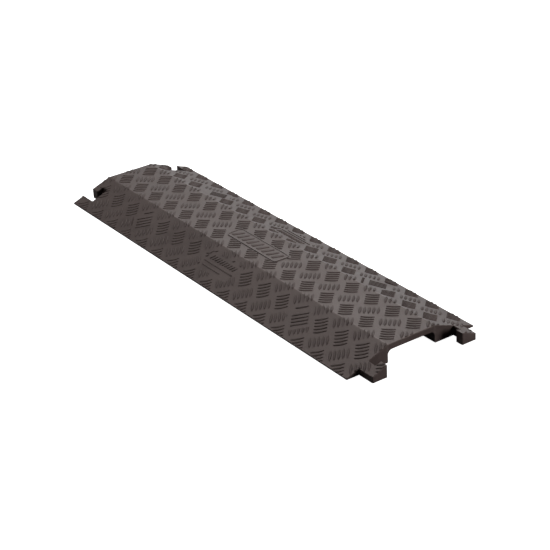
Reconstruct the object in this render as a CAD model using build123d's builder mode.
"""Drop-over cable protector ramp: one 36 in section with one cable channel.

The section is a single moulding shaped like a low bridge: two sloping sides, a flat
deck, and a channel underneath that is dropped over the cables. Two hooked lugs at one
end drop into the hooked sockets of the next section. Rubber grip pads are bonded into
shallow pockets under both sides.

Millimetres, +Z up. X runs along the cables, with the lugs towards +X. The origin is on
the floor, under the middle of the overall box.
"""

import os
from math import atan2, degrees

from build123d import *

os.makedirs("parts", exist_ok=True)

# Driving dimensions of the moulding
BODY_LENGTH = 914.4  # 36 in, without the lugs
DECK_WIDTH = 101.6  # 4 in
RAMP_RUN = 86.9  # one sloping side, measured flat on the floor
DECK_HEIGHT = 34.8
TOE_HEIGHT = 3.0  # thickness of the edge that a wheel meets first
CHANNEL_WIDTH = 101.6  # 4 in
CHANNEL_HEIGHT = 23.8
TREAD_HEIGHT = 1.3  # how far raised detail stands out of the top

# Roundings of the cross-section
RIDGE_RADIUS = 3.0
TOE_RADIUS = 1.2
CHANNEL_RADIUS = 9.0
MOUTH_RADIUS = 1.5
RIM_RADIUS = 0.8

# Joining hooks, in plan
STEM_INSET = 25.7  # from the toe edge to the stem
STEM_WIDTH = 20.0
HEAD_OVERHANG = 11.3  # how far the head reaches past the stem, towards the channel
HOOK_REACH = 36.0
HEAD_THICKNESS = 16.6
HOOK_CORNER = 2.0  # rounding of the corners in plan
HOOK_CLEARANCE = 1.2  # all round a lug in its socket
TIP_CLEARANCE = 4.0  # in front of the head's tip

# Blank name panel, raised on the deck
PANEL_LENGTH = 158.0
PANEL_WIDTH = 36.0
PANEL_CORNER = 7.0
PANEL_RIM = 2.2
PANEL_FLOOR = 0.5  # height of the panel inside its rim
PANEL_X = -9.0

# Grip pads
PADS_PER_SIDE = 4
PAD_PITCH = 205.0
PAD_LENGTH = 160.0
PAD_WIDTH = 38.0
PAD_CORNER = 6.0
PAD_THICKNESS = 3.0
PAD_PROUD = 0.5  # the pads stand this far out of the base
PAD_INSET = 44.0  # from the toe edge to a pad's centre line
PAD_GAP = 0.25  # round a pad in its pocket
GROOVE_PITCH = 10.0
GROOVE_WIDTH = 2.0
GROOVE_DEPTH = 0.8

# Worked out from the dimensions above
HALF_DECK = DECK_WIDTH / 2
HALF_WIDTH = HALF_DECK + RAMP_RUN
HALF_CHANNEL = CHANNEL_WIDTH / 2
OVERALL_LENGTH = BODY_LENGTH + HOOK_REACH
SOCKET_END = -OVERALL_LENGTH / 2
LUG_END = SOCKET_END + BODY_LENGTH
PAD_Y = HALF_WIDTH - PAD_INSET
PADS_MIDDLE = (SOCKET_END + LUG_END) / 2
PAD_CENTRES = [PADS_MIDDLE + PAD_PITCH * (i - (PADS_PER_SIDE - 1) / 2) for i in range(PADS_PER_SIDE)]
GROOVES_PER_PAD = int(PAD_LENGTH / GROOVE_PITCH) - 1
SIDES = {"front": -1, "back": 1}


def hook_outline(root_x, side, gap=0.0, tip_gap=0.0):
    """Corners of one hook in plan, each with its rounding: a stem along X, and a head that
    turns towards the channel. A gap all round makes the outline of the socket."""
    stem_outer = side * (HALF_WIDTH - STEM_INSET + gap)
    stem_inner = side * (HALF_WIDTH - STEM_INSET - STEM_WIDTH - gap)
    tip = side * (HALF_WIDTH - STEM_INSET - STEM_WIDTH - HEAD_OVERHANG - tip_gap)
    inside_x = root_x - HEAD_THICKNESS
    head_x = root_x + HOOK_REACH - HEAD_THICKNESS - gap
    end_x = root_x + HOOK_REACH + gap
    corners = [
        (inside_x, stem_outer),
        (end_x, stem_outer),
        (end_x, tip),
        (head_x, tip),
        (head_x, stem_inner),
        (inside_x, stem_inner),
    ]
    roundings = [0, HOOK_CORNER, HOOK_CORNER, HOOK_CORNER, HOOK_CORNER, 0]
    return corners, roundings


# ---- The moulding ----
with BuildPart() as ramp_body:
    # The cross-section is drawn once and runs the whole length, lugs included
    with BuildSketch(Plane.YZ.offset(SOCKET_END)) as section:
        with BuildLine():
            Polyline(
                (-HALF_WIDTH, PAD_PROUD),
                (-HALF_WIDTH, TOE_HEIGHT),
                (-HALF_DECK, DECK_HEIGHT),
                (HALF_DECK, DECK_HEIGHT),
                (HALF_WIDTH, TOE_HEIGHT),
                (HALF_WIDTH, PAD_PROUD),
                (HALF_CHANNEL, PAD_PROUD),
                (HALF_CHANNEL, CHANNEL_HEIGHT),
                (-HALF_CHANNEL, CHANNEL_HEIGHT),
                (-HALF_CHANNEL, PAD_PROUD),
                close=True,
            )
        make_face()
        fillet(section.vertices().filter_by(lambda v: abs(v.Y - DECK_HEIGHT) < 0.01), RIDGE_RADIUS)
        fillet(section.vertices().filter_by(lambda v: abs(v.Y - CHANNEL_HEIGHT) < 0.01), CHANNEL_RADIUS)
        fillet(
            section.vertices().filter_by(lambda v: abs(v.Y - PAD_PROUD) < 0.01 and abs(v.X) < HALF_WIDTH - 1),
            MOUTH_RADIUS,
        )
        fillet(
            section.vertices().filter_by(
                lambda v: abs(v.Y - TOE_HEIGHT) < 0.01 and abs(abs(v.X) - HALF_WIDTH) < 0.01
            ),
            TOE_RADIUS,
        )
    extrude(amount=OVERALL_LENGTH)

    # Beyond the body's end only the two hooked lugs stay
    with BuildSketch(Plane.XY) as beyond_the_body:
        with Locations((LUG_END, 0)):
            Rectangle(2 * HOOK_REACH, 2.2 * HALF_WIDTH, align=(Align.MIN, Align.CENTER))
        for side in SIDES.values():
            corners, roundings = hook_outline(LUG_END, side)
            with BuildLine():
                FilletPolyline(*corners, radius=roundings, close=True)
            make_face(mode=Mode.SUBTRACT)
    extrude(amount=2 * DECK_HEIGHT, mode=Mode.SUBTRACT)

    # The sockets are cut right through at the other end
    with BuildSketch(Plane.XY) as sockets:
        for side in SIDES.values():
            corners, roundings = hook_outline(SOCKET_END, side, HOOK_CLEARANCE, TIP_CLEARANCE)
            with BuildLine():
                FilletPolyline(*corners, radius=roundings, close=True)
            make_face()
    extrude(amount=2 * DECK_HEIGHT, mode=Mode.SUBTRACT)

    # Round the rim of the top where it meets the ends, the lugs and the sockets
    top_faces = ramp_body.faces().filter_by(lambda f: f.area > 5000 and f.normal_at().Z > 0.5)
    rim = [edge for face in top_faces for edge in face.edges() if edge.length < BODY_LENGTH / 2]
    fillet(rim, RIM_RADIUS)

    # Blank name panel on the deck: a low floor inside a raised rim
    with BuildSketch(Plane.XY.offset(DECK_HEIGHT)):
        with Locations((PANEL_X, 0)):
            RectangleRounded(PANEL_LENGTH, PANEL_WIDTH, PANEL_CORNER)
    extrude(amount=TREAD_HEIGHT)
    with BuildSketch(Plane.XY.offset(DECK_HEIGHT + PANEL_FLOOR)):
        with Locations((PANEL_X, 0)):
            RectangleRounded(
                PANEL_LENGTH - 2 * PANEL_RIM, PANEL_WIDTH - 2 * PANEL_RIM, PANEL_CORNER - PANEL_RIM
            )
    extrude(amount=TREAD_HEIGHT, mode=Mode.SUBTRACT)

    # Pockets for the grip pads
    with BuildSketch(Plane.XY):
        for side in SIDES.values():
            with Locations(*[(x, side * PAD_Y) for x in PAD_CENTRES]):
                RectangleRounded(PAD_LENGTH + 2 * PAD_GAP, PAD_WIDTH + 2 * PAD_GAP, PAD_CORNER + PAD_GAP)
    extrude(amount=PAD_THICKNESS, mode=Mode.SUBTRACT)
ramp_body.part.label = "ramp_body"
export_step(ramp_body.part, "parts/ramp_body.step")

# ---- The grip pads ----
for side_name, side in SIDES.items():
    for number, pad_x in enumerate(PAD_CENTRES, start=1):
        with BuildPart() as grip_pad:
            with BuildSketch(Plane.XY):
                with Locations((pad_x, side * PAD_Y)):
                    RectangleRounded(PAD_LENGTH, PAD_WIDTH, PAD_CORNER)
            extrude(amount=PAD_THICKNESS)
            # Cross grooves in the face that grips the floor
            with BuildSketch(Plane.XY):
                with Locations((pad_x, side * PAD_Y)):
                    with GridLocations(GROOVE_PITCH, 1, GROOVES_PER_PAD, 1):
                        Rectangle(GROOVE_WIDTH, PAD_WIDTH + 2)
            extrude(amount=GROOVE_DEPTH, mode=Mode.SUBTRACT)
        name = f"grip_pad_{side_name}_{number}"
        grip_pad.part.label = name
        export_step(grip_pad.part, f"parts/{name}.step")

print("slope", round(degrees(atan2(DECK_HEIGHT - TOE_HEIGHT, RAMP_RUN)), 1), "degrees")
